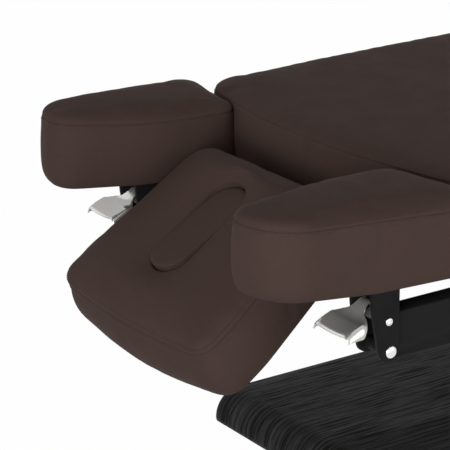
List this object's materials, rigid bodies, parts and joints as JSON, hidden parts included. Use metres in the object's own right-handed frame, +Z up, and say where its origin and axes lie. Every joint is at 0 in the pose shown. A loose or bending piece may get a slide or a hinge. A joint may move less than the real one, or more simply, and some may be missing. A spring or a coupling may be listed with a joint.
{
  "type": "spa lounger",
  "caption": "Padded spa and massage lounger on a black wooden plinth: lifting column, tilting back and leg rests, drooped headrest with face slot, and drop armrests with release levers.",
  "frame": {"origin": "centre of the box's base, on the floor", "axes": "+X towards the foot end, +Y towards the occupant's left side, +Z up"},
  "size_m": [1.9799, 0.8736, 0.6462],
  "materials": {
    "upholstery": "dark brown smooth upholstery vinyl with a fine leather grain, satin",
    "black_steel": "black powder coat with a fine texture",
    "chrome": "bright polished sheet",
    "zinc": "bright zinc-plated steel",
    "aluminium": "satin anodised extrusion",
    "black_wood": "open-grain wood stained black, satin",
    "plywood": "birch plywood stained black",
    "black_plastic": "black moulded housing",
    "rubber": "black ribbed strip"
  },
  "bodies": {
    "base": {"plinth": "black_wood", "floor_strip_head": "rubber", "floor_strip_foot": "rubber", "column_outer": "black_steel", "lift_motor": "black_plastic", "control_box": "black_plastic"},
    "column_middle": {"column_middle": "aluminium"},
    "chassis": {"column_inner": "aluminium", "chassis_rail_left": "black_steel", "chassis_rail_right": "black_steel", "back_actuator_shaft": "zinc", "leg_actuator_shaft": "zinc", "seat_bearer_head": "black_steel", "seat_bearer_foot": "black_steel", "seat_side_plate_left": "black_steel", "seat_side_plate_right": "black_steel", "seat_board": "plywood", "seat_pad": "upholstery"},
    "back": {"back_beam_left": "black_steel", "back_beam_right": "black_steel", "arm_pivot_bolt_left": "zinc", "arm_pivot_bolt_right": "zinc", "back_pivot_plate_left": "black_steel", "back_pivot_plate_right": "black_steel", "back_bearer_rear": "black_steel", "back_bearer_front": "black_steel", "headrest_axle": "zinc", "back_cross_tube": "black_steel", "back_board": "plywood", "back_pad": "upholstery"},
    "headrest": {"headrest_pad": "upholstery", "headrest_board": "plywood", "headrest_arm_left": "black_steel", "headrest_arm_right": "black_steel"},
    "face_plug": {"face_plug": "upholstery"},
    "armrest_left": {"armrest_pad_left": "upholstery", "armrest_board_left": "plywood", "armrest_bracket_left": "black_steel", "lever_axle_bolt_left": "zinc"},
    "lever_left": {"armrest_lever_left": "chrome"},
    "armrest_right": {"armrest_pad_right": "upholstery", "armrest_board_right": "plywood", "armrest_bracket_right": "black_steel", "lever_axle_bolt_right": "zinc"},
    "lever_right": {"armrest_lever_right": "chrome"},
    "leg": {"leg_pivot_plate_left": "black_steel", "leg_pivot_plate_right": "black_steel", "leg_bearer_head": "black_steel", "leg_bearer_foot": "black_steel", "leg_rail_left": "black_steel", "leg_rail_right": "black_steel", "leg_cross_tube": "black_steel", "leg_board": "plywood", "leg_pad": "upholstery"},
    "back_actuator": {"back_actuator": "black_plastic"},
    "back_actuator_rod": {"back_actuator_rod": "zinc"},
    "leg_actuator": {"leg_actuator": "black_plastic"},
    "leg_actuator_rod": {"leg_actuator_rod": "zinc"}
  },
  "joints": [
    {"name": "lift", "type": "slide", "parent": "base", "child": "chassis", "axis": [0, 0, 1], "range_m": [0, 0.3]},
    {"name": "lift_middle", "type": "slide", "parent": "base", "child": "column_middle", "axis": [0, 0, 1], "range_m": [0, 0.15]},
    {"name": "back_tilt", "type": "hinge", "parent": "chassis", "child": "back", "pos_m": [0.10147, 0, 0.6182], "axis": [0, 1, 0], "range_deg": [0, 60]},
    {"name": "leg_tilt", "type": "hinge", "parent": "chassis", "child": "leg", "pos_m": [0.47147, 0, 0.6182], "axis": [0, -1, 0], "range_deg": [0, 35]},
    {"name": "headrest_tilt", "type": "hinge", "parent": "back", "child": "headrest", "pos_m": [-0.59348, 0, 0.49285], "axis": [0, 1, 0], "range_deg": [0, 26]},
    {"name": "plug_lift", "type": "slide", "parent": "headrest", "child": "face_plug", "axis": [-0.5878, 0, 0.809], "range_m": [0, 0.15]},
    {"name": "armrest_drop_left", "type": "hinge", "parent": "back", "child": "armrest_left", "pos_m": [-0.73503, 0.3385, 0.384], "axis": [0, -1, 0], "range_deg": [0, 25]},
    {"name": "lever_pull_left", "type": "hinge", "parent": "armrest_left", "child": "lever_left", "pos_m": [-0.74003, 0.3385, 0.4355], "axis": [0, 1, 0], "range_deg": [0, 15], "stiffness_Nm_per_rad": 1, "springref_deg": -11.46},
    {"name": "armrest_drop_right", "type": "hinge", "parent": "back", "child": "armrest_right", "pos_m": [-0.73503, -0.3385, 0.384], "axis": [0, -1, 0], "range_deg": [0, 25]},
    {"name": "lever_pull_right", "type": "hinge", "parent": "armrest_right", "child": "lever_right", "pos_m": [-0.74003, -0.3385, 0.4355], "axis": [0, 1, 0], "range_deg": [0, 15], "stiffness_Nm_per_rad": 1, "springref_deg": -11.46},
    {"name": "back_actuator_swing", "type": "hinge", "parent": "chassis", "child": "back_actuator", "pos_m": [0.59409, 0.075, 0.3836], "axis": [0, 1, 0], "range_deg": [0, 3.81]},
    {"name": "back_actuator_extend", "type": "slide", "parent": "back_actuator", "child": "back_actuator_rod", "axis": [-0.9997, 0, 0.0264], "range_m": [0, 0.23258]},
    {"name": "leg_actuator_swing", "type": "hinge", "parent": "chassis", "child": "leg_actuator", "pos_m": [0.06261, -0.075, 0.3836], "axis": [0, -1, 0], "range_deg": [0, 1.39]},
    {"name": "leg_actuator_extend", "type": "slide", "parent": "leg_actuator", "child": "leg_actuator_rod", "axis": [0.9999, 0, 0.0132], "range_m": [0, 0.14108]}
  ],
  "couplings": [
    {"joint": "lift_middle", "follows": "lift", "ratio": 0.5},
    {"joint": "back_actuator_swing", "follows": "back_tilt", "ratio": 0.062624},
    {"joint": "back_actuator_extend", "follows": "back_tilt", "m_per_rad": 0.222},
    {"joint": "leg_actuator_swing", "follows": "leg_tilt", "ratio": 0.038215},
    {"joint": "leg_actuator_extend", "follows": "leg_tilt", "m_per_rad": 0.23079}
  ]
}
